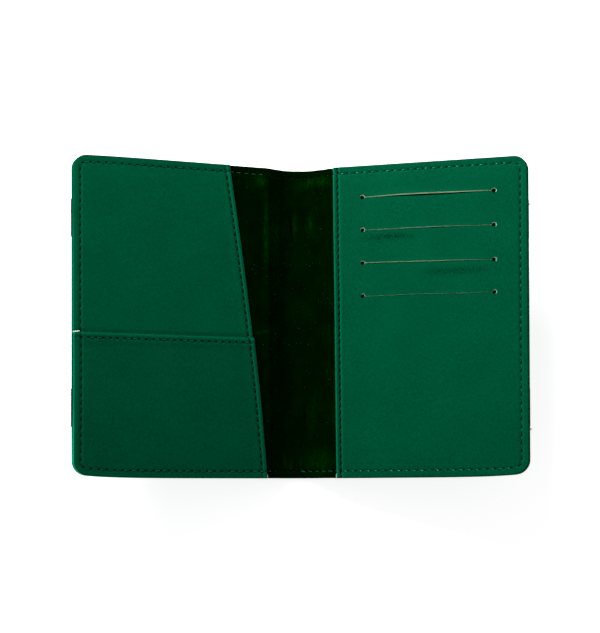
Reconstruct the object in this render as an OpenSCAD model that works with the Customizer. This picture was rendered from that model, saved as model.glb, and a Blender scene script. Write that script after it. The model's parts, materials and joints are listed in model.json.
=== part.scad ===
// Pocket notebook cover: two stiffened leatherette covers that fold on a soft spine trough.
// Frame: X across the open covers (right cover at +X), Y along the spine (head at +Y), Z up.
// The origin is under the middle of the spine, on the surface that the cover stands on.
// Each cover is drawn flat: x outward from its fold, y along the spine, z up from the middle
// of the soft laminate. on_cover() then lifts it to its resting angle.

/* [Covers] */
// Length of the spine and the covers (mm)
cover_h = 140; // [120:1:160]
// Width of one cover from its fold to its fore edge (mm)
cover_w = 93; // [88:1:104]
// Radius of the two fore edge corners of a cover (mm)
corner_r = 6.5; // [4:0.5:10]
// Angle of each resting cover above level (degrees)
open_angle = 20; // [5:1:40]

/* [Spine] */
// Width of the flat that the spine stands on (mm)
spine_flat = 9.6; // [6:0.2:12]
// Distance between the two folds (mm)
fold_gap = 23.6; // [20:0.2:28]
// Slope of the trough's two sides (degrees)
trough_slope = 34; // [20:1:45]

/* [Layers] */
// Outer leatherette (mm)
skin_t = 0.9; // [0.7:0.1:1.2]
// Stiffener board (mm)
board_t = 1.1; // [0.8:0.1:1.5]
// Inner lining (mm)
lining_t = 0.4; // [0.3:0.1:0.6]
// Leatherette of the pockets and the card panel (mm)
panel_t = 0.9; // [0.7:0.1:1.1]
// Elastic band (mm)
band_t = 0.8; // [0.6:0.1:1]
// Fabric behind each card slit (mm)
pocket_cloth_t = 0.12; // [0.1:0.01:0.15]

/* [Pockets] */
// Width of the slanted pocket at the head, from the fore edge (mm)
slant_head_w = 72.5; // [66:0.5:78]
// Width of the slanted pocket at the tail, from the fore edge (mm)
slant_tail_w = 89.1; // [84:0.1:90]
// Height of the small pocket above the tail edge (mm)
small_pocket_h = 62.3; // [50:0.1:75]
// How far the small pocket's edge stands past the slanted pocket's (mm)
small_pocket_lip = 0.6; // [0:0.1:1]
// Slack inside an empty pocket (mm)
pocket_slack = 0.3; // [0.2:0.1:0.5]
// Width of the glued and sewn rim of a pocket (mm)
rim_w = 4.2; // [3.5:0.1:6]

/* [Card panel] */
// Width of the card panel, from the fore edge (mm)
card_panel_w = 87.5; // [84:0.1:90]
// Length of a card slit between its two punched holes (mm)
slit_l = 60; // [56:0.5:62]
// Distance of the slits' inner holes from the fold (mm)
slit_u = 19.1; // [15:0.1:22]
// Distance of the first slit from the head edge (mm)
slit_head = 14.5; // [12:0.1:20]
// Distance from one slit to the next (mm)
slit_pitch = 14.9; // [12:0.1:18]
// Width of a slit (mm)
slit_w = 0.4; // [0.3:0.1:0.6]
// Radius of the punched hole at each end of a slit (mm)
slit_hole_r = 0.75; // [0.5:0.05:1]
// Depth of the fabric pocket behind a slit (mm)
pocket_cloth_h = 71; // [60:1:72]

/* [Bands] */
// Width of an elastic band (mm)
band_w = 17; // [12:1:20]
// Middle of the upper band, from the middle of the spine (mm)
band_upper_y = 42.3; // [36:0.1:46]
// Middle of the lower band, from the middle of the spine (mm)
band_lower_y = -40.4; // [-46:0.1:-36]

/* [Stitching] */
// Distance of the perimeter stitching from the edge (mm)
stitch_inset = 2.7; // [2:0.1:3.5]
// Distance of a hem's stitching from the hem (mm)
hem_inset = 2.3; // [1.8:0.1:3]
// Length of one stitch with its gap (mm)
stitch_pitch = 3.2; // [2.6:0.1:4]
// Length of the thread that shows in one stitch (mm)
stitch_l = 2.3; // [1.6:0.1:2.4]
// Width of the thread (mm)
stitch_w = 0.5; // [0.4:0.05:0.6]
// Height of the thread above the surface that it is pulled onto (mm)
stitch_h = 0.25; // [0.2:0.05:0.3]

/* [Hidden] */

$fn = 64;
leather_color = [0.0, 0.33, 0.22];
lining_color = [0.02, 0.12, 0.04];
board_color = [0.55, 0.48, 0.38];
cloth_color = [0.08, 0.08, 0.09];
thread_color = [0.1, 0.5, 0.38];
band_color = [0.06, 0.06, 0.06];

slit_count = 4;
fold_clearance = 0.7;      // each side of a fold, so that the layers never meet while it turns
board_start = 2;           // the board stops short of the fold
cut = 1;                   // how far a cutting solid runs past what it cuts

// Heights of the layers' faces from the middle of the soft laminate
laminate_t = skin_t + lining_t;
skin_under = -laminate_t / 2;
skin_top = skin_under + skin_t;
band_under = skin_under - band_t;
soft_lining_top = skin_top + lining_t;
board_top = skin_top + board_t;
lining_top = board_top + lining_t;
slanted_top = lining_top + pocket_slack + panel_t;
small_top = slanted_top + pocket_slack + panel_t;
card_slack = (slit_count + 1) * pocket_cloth_t;
card_top = lining_top + card_slack + panel_t;

// The spine trough and the two folds
flat_half = spine_flat / 2;
trough_z = -band_under;
fold_x = fold_gap / 2;
fold_z = trough_z + (fold_x - flat_half) * tan(trough_slope);

// The slanted edge, as its distance from the fold at a height y
slant_head_u = cover_w - slant_head_w;
slant_tail_u = cover_w - slant_tail_w;
slant_angle = atan2(slant_head_u - slant_tail_u, cover_h);
function slant_u(y) = slant_tail_u + (y + cover_h / 2) * tan(slant_angle);
small_pocket_y = small_pocket_h - cover_h / 2;
function slit_y(i) = cover_h / 2 - slit_head - i * slit_pitch;

// The perimeter stitching runs out along the head, down the fore edge and back along the tail
seam_start = fold_clearance + stitch_pitch / 2;
seam_arc_r = corner_r - stitch_inset;
seam_run = cover_w - corner_r - seam_start;
seam_arc = PI / 2 * seam_arc_r;
seam_side = cover_h - 2 * corner_r;
seam_l = 2 * (seam_run + seam_arc) + seam_side;
function across(p) = [p.x, -p.y, 180 - p.z];
function seam_point(s) =
    s > seam_l / 2 ? across(seam_point(seam_l - s)) :
    s < seam_run ? [seam_start + s, cover_h / 2 - stitch_inset, 0] :
    s < seam_run + seam_arc ?
        let (a = (s - seam_run) / seam_arc * 90)
        [cover_w - corner_r + seam_arc_r * sin(a), cover_h / 2 - corner_r + seam_arc_r * cos(a), -a] :
    [cover_w - stitch_inset, cover_h / 2 - corner_r - (s - seam_run - seam_arc), -90];

// The highest face under a stitch inside, and the lowest one outside
function on_band(y) =
    min(abs(y - band_upper_y), abs(y - band_lower_y)) < (band_w + stitch_l) / 2;
function outer_face(y) = on_band(y) ? band_under : skin_under;
function left_face(p) =
    p.x + stitch_l / 2 < slant_u(p.y) - small_pocket_lip ? lining_top :
    p.y - stitch_l / 2 < small_pocket_y ? small_top : slanted_top;
function right_face(p) = p.x + stitch_l / 2 < cover_w - card_panel_w ? lining_top : card_top;

// A piece drawn flat goes onto the right cover at side 1, or the left cover at side -1
module on_cover(side) {
    mirror([side < 0 ? 1 : 0, 0, 0])
        translate([fold_x, 0, fold_z])
            rotate([0, -open_angle, 0])
                children();
}

// Outline of a cover from start to the fore edge, drawn in by inset on its three outer edges
module cover_outline(start, inset = 0) {
    r = corner_r - min(inset, corner_r - 1);
    far = cover_w - inset;
    half = cover_h / 2 - inset;
    translate([start, -half])
        square([far - r - start, 2 * half]);
    translate([far - r - cut, r - half])
        square([r + cut, 2 * (half - r)]);
    for (y = [r - half, half - r])
        translate([far - r, y])
            circle(r);
}

module cover_layer(start, low, high, inset = 0) {
    translate([0, 0, low])
        linear_extrude(high - low)
            cover_outline(start, inset);
}

// The lining lies on the board and steps down to the skin where the board ends
module cover_lining() {
    cover_layer(board_start, board_top, lining_top);
    translate([fold_clearance, -cover_h / 2, skin_top])
        cube([board_start - fold_clearance, cover_h, lining_t]);
    translate([board_start - lining_t, -cover_h / 2, skin_top])
        cube([lining_t, cover_h, lining_top - skin_top]);
    translate([board_start - lining_t, -cover_h / 2, board_top])
        cube([2 * lining_t, cover_h, lining_t]);
}

module cover_band(y, wraps) {
    translate([fold_clearance, y - band_w / 2, band_under])
        cube([cover_w - fold_clearance, band_w, band_t]);
    // the end that comes out of the fore edge seam and folds down over the skin's edge
    if (wraps)
        translate([cover_w, y - band_w / 2, band_under])
            cube([band_t, band_w, skin_top - band_under]);
}

// One layer of the trough, between two heights from the middle of the laminate
module trough_layer(low, high, length, y = 0) {
    reach = (fold_x - flat_half) / cos(trough_slope) - fold_clearance;
    function bend(d) = [flat_half - d * tan(trough_slope / 2), trough_z + d];
    function end(d) = [
        flat_half + reach * cos(trough_slope) - d * sin(trough_slope),
        trough_z + reach * sin(trough_slope) + d * cos(trough_slope)
    ];
    function flip(p) = [-p.x, p.y];
    translate([0, y, 0])
        rotate([90, 0, 0])
            linear_extrude(length, center = true)
                polygon([
                    flip(end(low)), flip(bend(low)), bend(low), end(low),
                    end(high), bend(high), flip(bend(high)), flip(end(high))
                ]);
}

module stitch(p, low) {
    translate([p.x, p.y, low + stitch_h / 2])
        rotate([0, 0, p.z])
            cube([stitch_l, stitch_w, stitch_h], center = true);
}

module left_stitch(p) {
    stitch(p, left_face(p));
}

// A straight row of stitches from one point to another, centred between them
module left_stitch_row(from, to) {
    run = norm(to - from);
    count = floor(run / stitch_pitch);
    angle = atan2(to.y - from.y, to.x - from.x);
    for (i = [0.5:count])
        let (at = from + (to - from) * (i / count))
            left_stitch([at.x, at.y, angle]);
}

// Two layers of the spine
module spine_skin() {
    color(leather_color)
        trough_layer(skin_under, skin_top, cover_h);
}

module spine_lining() {
    color(lining_color)
        trough_layer(skin_top, soft_lining_top, cover_h);
}

// One stitch on each face for every place along the trough's head and tail
module spine_stitching() {
    side_places = [flat_half + stitch_pitch / 2 + 0.2, flat_half + stitch_pitch * 1.5 + 0.2];
    color(thread_color)
        for (y = [-1, 1] * (cover_h / 2 - stitch_inset), low = [soft_lining_top, skin_under - stitch_h]) {
            for (x = [-1, 0, 1] * stitch_pitch)
                stitch([x, y, 0], trough_z + low);
            for (side = [-1, 1], place = side_places)
                mirror([side < 0 ? 1 : 0, 0, 0])
                    translate([flat_half, 0, trough_z])
                        rotate([0, -trough_slope, 0])
                            stitch([place - flat_half, y, 0], low);
        }
}

module spine_band_upper() {
    color(band_color)
        trough_layer(band_under, skin_under, band_w, band_upper_y);
}

module spine_band_lower() {
    color(band_color)
        trough_layer(band_under, skin_under, band_w, band_lower_y);
}

// The left cover
module left_skin() {
    color(leather_color)
        on_cover(-1)
            cover_layer(fold_clearance, skin_under, skin_top);
}

module left_board() {
    color(board_color)
        on_cover(-1)
            cover_layer(board_start, skin_top, board_top);
}

module left_lining() {
    color(lining_color)
        on_cover(-1)
            cover_lining();
}

// A pocket is a panel that bears on what is under it by its rim only. It opens on its slanted edge.
module pocket_panel(low, high, head_y, lip) {
    difference() {
        intersection() {
            cover_layer(0, low, high);
            translate([0, 0, low - cut])
                linear_extrude(high - low + 2 * cut)
                    polygon([
                        [slant_u(-cover_h / 2) - lip, -cover_h / 2], [cover_w, -cover_h / 2],
                        [cover_w, head_y], [slant_u(head_y) - lip, head_y]
                    ]);
        }
        cover_layer(0, low - cut, low + pocket_slack, rim_w);
    }
}

module slanted_pocket() {
    color(leather_color)
        on_cover(-1)
            pocket_panel(lining_top, slanted_top, cover_h / 2, 0);
}

module small_pocket() {
    color(leather_color)
        on_cover(-1)
            pocket_panel(slanted_top, small_top, small_pocket_y, small_pocket_lip);
}

module perimeter_stitching(is_left) {
    count = floor(seam_l / stitch_pitch);
    for (i = [0.5:count]) {
        p = seam_point(i * seam_l / count);
        stitch(p, is_left ? left_face(p) : right_face(p));
        stitch(p, outer_face(p.y) - stitch_h);
    }
}

module left_perimeter_stitching() {
    color(thread_color)
        on_cover(-1)
            perimeter_stitching(true);
}

module slanted_hem_stitching() {
    clear_y = cover_h / 2 - stitch_inset - stitch_pitch / 2;
    step = hem_inset / cos(slant_angle);
    color(thread_color)
        on_cover(-1)
            left_stitch_row([slant_u(-clear_y) + step, -clear_y], [slant_u(clear_y) + step, clear_y]);
}

module small_pocket_hem_stitching() {
    y = small_pocket_y - hem_inset;
    color(thread_color)
        on_cover(-1)
            left_stitch_row(
                [slant_u(y) + hem_inset + stitch_pitch / 2, y],
                [cover_w - stitch_inset - stitch_pitch / 2, y]
            );
}

module left_band_upper() {
    color(band_color)
        on_cover(-1)
            cover_band(band_upper_y, true);
}

module left_band_lower() {
    color(band_color)
        on_cover(-1)
            cover_band(band_lower_y, true);
}

// The right cover
module right_skin() {
    color(leather_color)
        on_cover(1)
            cover_layer(fold_clearance, skin_under, skin_top);
}

module right_board() {
    color(board_color)
        on_cover(1)
            cover_layer(board_start, skin_top, board_top);
}

module right_lining() {
    color(lining_color)
        on_cover(1)
            cover_lining();
}

// The card panel bears on the lining by its rim, and has four slits between punched holes
module card_panel() {
    color(leather_color)
        on_cover(1)
            difference() {
                cover_layer(cover_w - card_panel_w, lining_top, card_top);
                cover_layer(0, lining_top - cut, lining_top + card_slack, rim_w);
                for (i = [0:slit_count - 1]) {
                    translate([slit_u, slit_y(i) - slit_w / 2, lining_top])
                        cube([slit_l, slit_w, card_slack + panel_t + cut]);
                    for (u = [slit_u, slit_u + slit_l])
                        translate([u, slit_y(i), lining_top])
                            cylinder(h = card_slack + panel_t + cut, r = slit_hole_r);
                }
            }
}

// The cloth pocket behind slit i, glued under the panel. Those of the lower slits lie over it.
module card_pocket(i) {
    side_margin = 2;
    head_margin = 2.5;
    low = lining_top + (i + 1) * pocket_cloth_t;
    color(cloth_color)
        on_cover(1)
            translate([slit_u - side_margin, slit_y(i) + head_margin - pocket_cloth_h, low])
                cube([slit_l + 2 * side_margin, pocket_cloth_h, pocket_cloth_t]);
}

module right_perimeter_stitching() {
    color(thread_color)
        on_cover(1)
            perimeter_stitching(false);
}

module card_panel_hem_stitching() {
    clear_y = cover_h / 2 - stitch_inset - stitch_pitch / 2;
    count = floor(2 * clear_y / stitch_pitch);
    color(thread_color)
        on_cover(1)
            for (i = [0.5:count])
                stitch([cover_w - card_panel_w + hem_inset, (i / count * 2 - 1) * clear_y, 90], card_top);
}

module right_band_upper() {
    color(band_color)
        on_cover(1)
            cover_band(band_upper_y, false);
}

module right_band_lower() {
    color(band_color)
        on_cover(1)
            cover_band(band_lower_y, false);
}

spine_skin();
spine_lining();
spine_stitching();
spine_band_upper();
spine_band_lower();
left_skin();
left_board();
left_lining();
slanted_pocket();
small_pocket();
left_perimeter_stitching();
slanted_hem_stitching();
small_pocket_hem_stitching();
left_band_upper();
left_band_lower();
right_skin();
right_board();
right_lining();
card_panel();
card_pocket(0);  // card_pocket_1
card_pocket(1);  // card_pocket_2
card_pocket(2);  // card_pocket_3
card_pocket(3);  // card_pocket_4
right_perimeter_stitching();
card_panel_hem_stitching();
right_band_upper();
right_band_lower();
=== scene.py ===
"""The looks of a pocket notebook cover: soft sheets, seams, bands and light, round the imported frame.

Lengths are millimetres until a mesh is made. A cover's own coordinates are u, outward from its fold;
v, along the spine; and w, up from the middle of the soft laminate. s is u counted from the middle of
the spine, along the trough. A face is a function of u and v that gives w.
"""

import json
import math

import bpy
import numpy as np
from mathutils import Matrix, Vector


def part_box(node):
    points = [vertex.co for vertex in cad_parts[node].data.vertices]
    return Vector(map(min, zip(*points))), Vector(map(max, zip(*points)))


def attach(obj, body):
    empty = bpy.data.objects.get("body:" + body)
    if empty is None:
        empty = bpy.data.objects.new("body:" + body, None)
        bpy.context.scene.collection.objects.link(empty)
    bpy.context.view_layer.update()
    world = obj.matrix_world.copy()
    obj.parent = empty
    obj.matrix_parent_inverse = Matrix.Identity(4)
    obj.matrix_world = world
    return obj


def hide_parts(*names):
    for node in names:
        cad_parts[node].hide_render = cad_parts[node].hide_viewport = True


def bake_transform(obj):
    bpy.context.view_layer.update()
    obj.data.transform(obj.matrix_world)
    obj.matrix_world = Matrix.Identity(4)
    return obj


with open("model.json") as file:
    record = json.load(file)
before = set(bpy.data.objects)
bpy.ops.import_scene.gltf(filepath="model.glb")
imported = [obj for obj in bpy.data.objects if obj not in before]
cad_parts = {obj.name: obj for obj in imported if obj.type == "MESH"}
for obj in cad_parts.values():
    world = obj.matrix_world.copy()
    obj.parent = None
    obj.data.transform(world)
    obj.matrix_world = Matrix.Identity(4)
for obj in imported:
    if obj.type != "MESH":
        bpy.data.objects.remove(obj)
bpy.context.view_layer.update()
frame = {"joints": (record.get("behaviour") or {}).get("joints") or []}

MM = 0.001
LEFT, RIGHT = -1, 1
SIDE_NAME = {LEFT: "left", RIGHT: "right"}
COVER = {side: f"{name}_cover" for side, name in SIDE_NAME.items()}

# ---------------- sizes, from the frame where it has them
joints = {joint["name"]: joint for joint in frame["joints"]}
FOLD_X, _, FOLD_Z = (c / MM for c in joints["right_cover_fold"]["pos_m"])
COVER_H = 2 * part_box("right_skin")[1].y / MM
OPEN = math.radians(20)
FOLD_CLEARANCE = 0.7
BAND_T = 0.8
band_low, band_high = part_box("right_band_upper")
COVER_W = FOLD_CLEARANCE + ((band_high.x - band_low.x) / MM - BAND_T * math.sin(OPEN)) / math.cos(OPEN)
CORNER_R = 5.9
HALF_H = COVER_H / 2

# Heights of the faces of the layers
SKIN_UNDER, SKIN_TOP, SOFT_LINING_TOP = -0.65, 0.25, 0.65
BOARD_TOP, LINING_TOP = 1.35, 1.75
SLANTED_TOP, SMALL_TOP, CARD_TOP = 2.95, 4.15, 3.25
CARD_UNDER = 2.35
LINING_T, CLOTH_T = 0.4, 0.12
GLUE_GAP = 0.02

# The spine trough: flat, bend, slope, bend, cover
FLAT_HALF = 4.8
SLOPE = math.radians(34)
FOOT_BEND_R = 11.0
FOLD_BEND_R = 22.0

# Edges of the pockets and the card panel
SLANT_HEAD_U, SLANT_TAIL_U, SLANT_BOW = COVER_W - 71.65, COVER_W - 89.1, 1.15
SLANT_ANGLE = math.atan2(SLANT_HEAD_U - SLANT_TAIL_U, COVER_H)
SMALL_V = 62.3 - HALF_H
SMALL_LIP = 0.15
CARD_U, CARD_LEAN = COVER_W - 87.6, 0.6

# Card slits, from the highest: how far each opens, lifts, shows its cut lip, drops towards the fore edge,
# and how much its cut lip narrows on the way
SLIT_U, SLIT_L, SLIT_HOLE_R = 18.6, 59.7, 0.98
SLIT_V = [HALF_H - 14.5 - 14.9 * i for i in range(4)]
SLIT_GAPE, SLIT_LIFT = (0.8, 0.25, 0.25, 0.12), (0.5, 0.25, 0.25, 0.15)
SLIT_LIP, SLIT_DROP = (0.26, 0.17, 0.24, 0.05), (0.4, 0.6, 1.1, 0.5)
SLIT_TAPER = (0.1, 0.75, 0.85, 0.2)

# Seams
SEAM_INSET, HEM_INSET = 3.1, 2.3
EDGE_STITCH, HEM_STITCH = 3.5, 3.2

# Bands
BAND_W, RIB_STEP = 17.0, 1.1
BAND_V = {"upper": 42.3, "lower": -40.4}


# ---------------- shapes as functions
def soft(x, low, high):
    """0 below low, 1 above high, and smooth between them."""
    t = np.clip((x - low) / (high - low), 0, 1)
    return t * t * (3 - 2 * t)


def rounding(distance, radius):
    """How far a face drops towards an edge that is rounded to radius."""
    t = np.clip(1 - distance / radius, 0, 1)
    return radius * (1 - np.sqrt(1 - t * t))


def groove(distance, depth, width):
    """A soft groove, as a height to take away."""
    return depth * np.exp(-((distance / width) ** 2))


def waviness(u, v, phase):
    """Slow unevenness of a hand-laid sheet, from -1 to 1."""
    return (
        np.sin(u / 17 + 0.6 * np.sin(v / 23 + phase) + phase)
        * np.cos(v / 29 + 0.7 * np.sin(u / 19 - phase))
        + 0.5 * np.sin(u / 9.5 - v / 12.5 + 2 * phase)
    ) / 1.5


class Spine:
    """The line of the laminate's middle, from the middle of the spine out along a cover."""

    foot_tangent = FOOT_BEND_R * math.tan(SLOPE / 2)
    fold_tangent = FOLD_BEND_R * math.tan((SLOPE - OPEN) / 2)
    slope_l = (FOLD_X - FLAT_HALF) / math.cos(SLOPE)
    z = FOLD_Z - (FOLD_X - FLAT_HALF) * math.tan(SLOPE)
    knots = np.cumsum([
        FLAT_HALF - foot_tangent,
        FOOT_BEND_R * SLOPE,
        slope_l - foot_tangent - fold_tangent,
        FOLD_BEND_R * (SLOPE - OPEN),
    ])
    fold_s = knots[3] - fold_tangent
    step = 0.05
    table_s = np.arange(0, 130, step)
    table_angle = np.interp(table_s, knots, [0, SLOPE, SLOPE, OPEN])
    step_angle = table_angle[:-1] + np.diff(table_angle) / 2
    table_x = np.concatenate([[0], np.cumsum(np.cos(step_angle))]) * step
    table_z = np.concatenate([[0], np.cumsum(np.sin(step_angle))]) * step + z


FOLD_S = Spine.fold_s


# How the cover departs from a square one: wider at the head, longer all over, and drawn in at the corners
WIDER, SPLAY, LONGER, DRAWN_OVER = 0.0018, 0.0076, 0.005, 12.0
TAIL_DRAWN_IN, HEAD_DRAWN_IN = 1.7, {LEFT: 0.6, RIGHT: 0.0}


def as_sewn(side, s, v):
    """Where a place on a square cover lies once it is sewn."""
    toward_head = v / HALF_H
    near_edge = np.exp(-np.clip(FOLD_S + COVER_W - s, 0, None) / DRAWN_OVER)
    at_tail, at_head = (np.clip(way * toward_head, 0, 1) ** 3 for way in (-1, 1))
    drawn = TAIL_DRAWN_IN * at_tail - HEAD_DRAWN_IN[side] * at_head
    return s * (1 + WIDER + SPLAY * toward_head), v * (1 + LONGER) + near_edge * drawn


def place(side, u, v, w):
    """Points in the row frame, in metres, of places on or over the spine and the cover at side."""
    u, v, w = np.broadcast_arrays(np.asarray(u, float), v, w)
    s, v = as_sewn(side, FOLD_S + u, v)
    angle = np.interp(s, Spine.table_s, Spine.table_angle)
    x = np.interp(s, Spine.table_s, Spine.table_x) - w * np.sin(angle)
    z = np.interp(s, Spine.table_s, Spine.table_z) + w * np.cos(angle)
    return np.stack([side * x, v, z], axis=-1) * MM


def on_cover(side, points):
    """The u, v, w of points in the row frame that lie on the stiff part of a cover."""
    p = np.asarray(points, float) / MM
    x, z = side * p[..., 0] - FOLD_X, p[..., 2] - FOLD_Z
    sewn_s, sewn_v = FOLD_S + x * math.cos(OPEN) + z * math.sin(OPEN), p[..., 1]
    s, v = sewn_s, sewn_v
    for _ in range(4):
        moved_s, moved_v = as_sewn(side, s, v)
        s, v = s + sewn_s - moved_s, v + sewn_v - moved_v
    return np.stack([s - FOLD_S, v, z * math.cos(OPEN) - x * math.sin(OPEN)], axis=-1)


def fore_edge(v):
    """u of the cover's outline at v."""
    into_corner = np.clip(np.abs(v) - (HALF_H - CORNER_R), 0, CORNER_R)
    return COVER_W - CORNER_R + np.sqrt(CORNER_R**2 - into_corner**2)


def edge_distance(u, v):
    """Distance inwards from the cover's outline."""
    du, dv = u - (COVER_W - CORNER_R), np.abs(v) - (HALF_H - CORNER_R)
    in_corner = (du > 0) & (dv > 0)
    return np.where(in_corner, CORNER_R - np.hypot(du, dv), CORNER_R - np.maximum(du, dv))


# ---------------- seams
class PerimeterSeam:
    """Half of the seam round the whole notebook cover: one cover's, from the middle of the spine at the
    head to the middle at the tail. A seam's coordinates are the distance along it, the distance outside
    it, and how far it runs down the spine, from 0 to 1."""

    radius = CORNER_R - SEAM_INSET
    straight = FOLD_S + COVER_W - CORNER_R
    quarter = math.pi / 2 * radius
    length = 2 * (straight + quarter) + COVER_H - 2 * CORNER_R
    count = round(length / EDGE_STITCH)
    pitch = length / count

    def coordinates(self, u, v):
        du, dv = u - (COVER_W - CORNER_R), np.abs(v) - (HALF_H - CORNER_R)
        angle = np.arctan2(np.maximum(du, 1e-9), np.maximum(dv, 1e-9))
        at_corner = (du > 0) & (dv > 0)
        along = np.where(
            at_corner,
            self.straight + self.radius * angle,
            np.where(dv > du, FOLD_S + u, self.straight + self.quarter + HALF_H - CORNER_R - np.abs(v)),
        )
        outside = np.where(at_corner, np.hypot(du, dv), np.maximum(du, dv)) - self.radius
        down = np.where(at_corner, np.sin(angle) ** 2, np.where(dv > du, 0.0, 1.0))
        return np.where(v < 0, self.length - along, along), outside, down

    def point(self, along):
        """The u, v and direction of a place on the seam."""
        if along > self.length / 2:
            u, v, direction = self.point(self.length - along)
            return u, -v, math.pi - direction
        if along < self.straight:
            return along - FOLD_S, HALF_H - SEAM_INSET, 0.0
        if along < self.straight + self.quarter:
            angle = (along - self.straight) / self.radius
            return (
                COVER_W - CORNER_R + self.radius * math.sin(angle),
                HALF_H - CORNER_R + self.radius * math.cos(angle),
                -angle,
            )
        down = along - self.straight - self.quarter
        return COVER_W - SEAM_INSET, HALF_H - CORNER_R - down, -math.pi / 2


def bowed(v, bow):
    """How far a hem bows towards the spine at v."""
    return bow * (1 - (v / HALF_H) ** 2)


class StraightSeam:
    """A seam between two places on a cover, in whole stitches. It may bow towards the spine."""

    def __init__(self, start, end, bow=0.0):
        self.start, self.bow = np.array(start, float), bow
        run = np.array(end, float) - self.start
        self.length = float(np.linalg.norm(run))
        self.count = round(self.length / HEM_STITCH)
        self.pitch = self.length / self.count
        self.along = run / self.length
        self.direction = math.atan2(self.along[1], self.along[0])

    def coordinates(self, u, v):
        du, dv = u + bowed(v, self.bow) - self.start[0], v - self.start[1]
        down = np.full_like(du, self.along[1] ** 2)
        return du * self.along[0] + dv * self.along[1], dv * self.along[0] - du * self.along[1], down

    def point(self, along):
        u, v = self.start + self.along * along
        return u - bowed(v, self.bow), v, self.direction


def slant_u(v):
    """u of the slanted pocket's hem at v."""
    return SLANT_TAIL_U + (v + HALF_H) * math.tan(SLANT_ANGLE) - bowed(v, SLANT_BOW)


def slant_distance(u, v):
    return (u - slant_u(v)) * math.cos(SLANT_ANGLE)


def card_u(v):
    """u of the card panel's hem at v."""
    return CARD_U - CARD_LEAN * v / HALF_H


def hem_seam(hem_u, step, bow=0.0):
    """The seam beside a hem that runs from head to tail."""
    ends = [(hem_u(v) + bowed(v, bow) + step, v) for v in (HALF_H - SEAM_INSET, SEAM_INSET - HALF_H)]
    return StraightSeam(*ends, bow)


SLANT_STEP = HEM_INSET / math.cos(SLANT_ANGLE)
SMALL_SEAM_V = SMALL_V - HEM_INSET
perimeter_seam = PerimeterSeam()
slanted_seam = hem_seam(slant_u, SLANT_STEP, SLANT_BOW)
card_seam = hem_seam(card_u, HEM_INSET)
small_seam = StraightSeam(
    (slant_u(SMALL_SEAM_V) + SLANT_STEP, SMALL_SEAM_V),
    (COVER_W - SEAM_INSET, SMALL_SEAM_V),
)


def seam_values(side, u, v, seams):
    """A vector for each seam: the distance along it in stitches, the distance outside it in millimetres,
    and how far it runs down the spine, which is below 0 on the left cover."""
    values = {}
    for name, seam in seams.items():
        along, outside, down = seam.coordinates(u, v)
        values[name] = np.stack([along / seam.pitch, outside, side * down], axis=-1)
    return values


# ---------------- the faces of the layers
def pulled_in(u, v, seam, depth, width):
    """The groove along a seam, deepest at each needle hole."""
    along, outside, _ = seam.coordinates(u, v)
    return groove(outside, depth * (0.7 + 0.3 * np.cos(2 * math.pi * along / seam.pitch)), width)


def rim_shape(u, v):
    """A sewn outer edge: rounded, a crest, the seam's groove, and a slow rise to the middle."""
    distance = edge_distance(u, v)
    return (
        -rounding(distance, 0.45)
        - pulled_in(u, v, perimeter_seam, 0.17, 0.5)
        - 0.12 * (1 - soft(distance, SEAM_INSET, 9))
    )


def hem_shape(u, v, distance, seam):
    """A turned hem: a full round edge, a double layer with the seam's groove, and then one layer."""
    layers = 0.22 * (1 - soft(distance, 3.2, 6))
    return layers - rounding(distance, 0.75) - pulled_in(u, v, seam, 0.26, 0.45)


def lining_face(side, u, v):
    """The lining rises from the soft spine onto the board, and creases along the spine's bends."""
    edge = edge_distance(u, v)
    shoulder = 0.5 if side == LEFT else 0.1
    crease_u = -3.6 if side == LEFT else -7.5
    inside = soft(edge, 2, 8)
    return (
        SOFT_LINING_TOP
        + (LINING_TOP - SOFT_LINING_TOP) * soft(u, 0.2, 3.2)
        + shoulder * np.exp(-(((u - 1.5) / 3) ** 2))
        + 0.22 * inside * np.exp(-(((u - crease_u - 0.4 * np.sin(v / 21)) / 0.8) ** 2)) * soft(v, -45, 20)
        + 0.12 * waviness(u, v, 2.0) * inside
        - rounding(edge, 0.3)
        - pulled_in(u, v, perimeter_seam, 0.25, 0.6)
    )


def slanted_face(u, v, past_edge=0.0):
    """The slanted pocket's face, pressed down under the small pocket's hem. With past_edge its hem reaches
    further towards the spine."""
    return (
        SLANTED_TOP
        + rim_shape(u, v)
        + hem_shape(u, v, slant_distance(u, v) + past_edge, slanted_seam)
        + 0.16 * waviness(u, v, 0.4) * soft(edge_distance(u, v), 3, 14)
        - groove(v - SMALL_V - 0.15, 0.32, 0.75)
    )


def small_face(u, v):
    """The small pocket lies over the slanted one and sinks towards the tail."""
    return (
        slanted_face(u, v, SMALL_LIP)
        + (SMALL_TOP - SLANTED_TOP)
        + hem_shape(u, v, SMALL_V - v, small_seam)
        - 1.1 * soft(-v, 30, 78)
    )


def card_face(u, v):
    edge = edge_distance(u, v)
    face = (
        CARD_TOP
        + rim_shape(u, v)
        + hem_shape(u, v, u - card_u(v), card_seam)
        + 0.14 * waviness(u, v, 5.2) * soft(edge, 3, 14)
    )
    share = np.clip((u - SLIT_U) / SLIT_L, 0, 1)
    along = np.sin(share * math.pi) ** 0.6
    for slit_v, drop, lift in zip(SLIT_V, SLIT_DROP, SLIT_LIFT):
        above = v - slit_v + drop * share
        face = face + along * lift * np.where(above > 0, np.exp(-above / 1.6), -0.3 * np.exp(above / 1.3))
    return face


def skin_face(u, v):
    """The outside of the cover, which looks down."""
    edge = edge_distance(u, v)
    return (
        SKIN_UNDER
        + rounding(edge, 0.45)
        + pulled_in(u, v, perimeter_seam, 0.2, 0.55)
        + 0.06 * waviness(u, v, 1.0) * soft(edge, 3, 14)
    )


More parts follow.
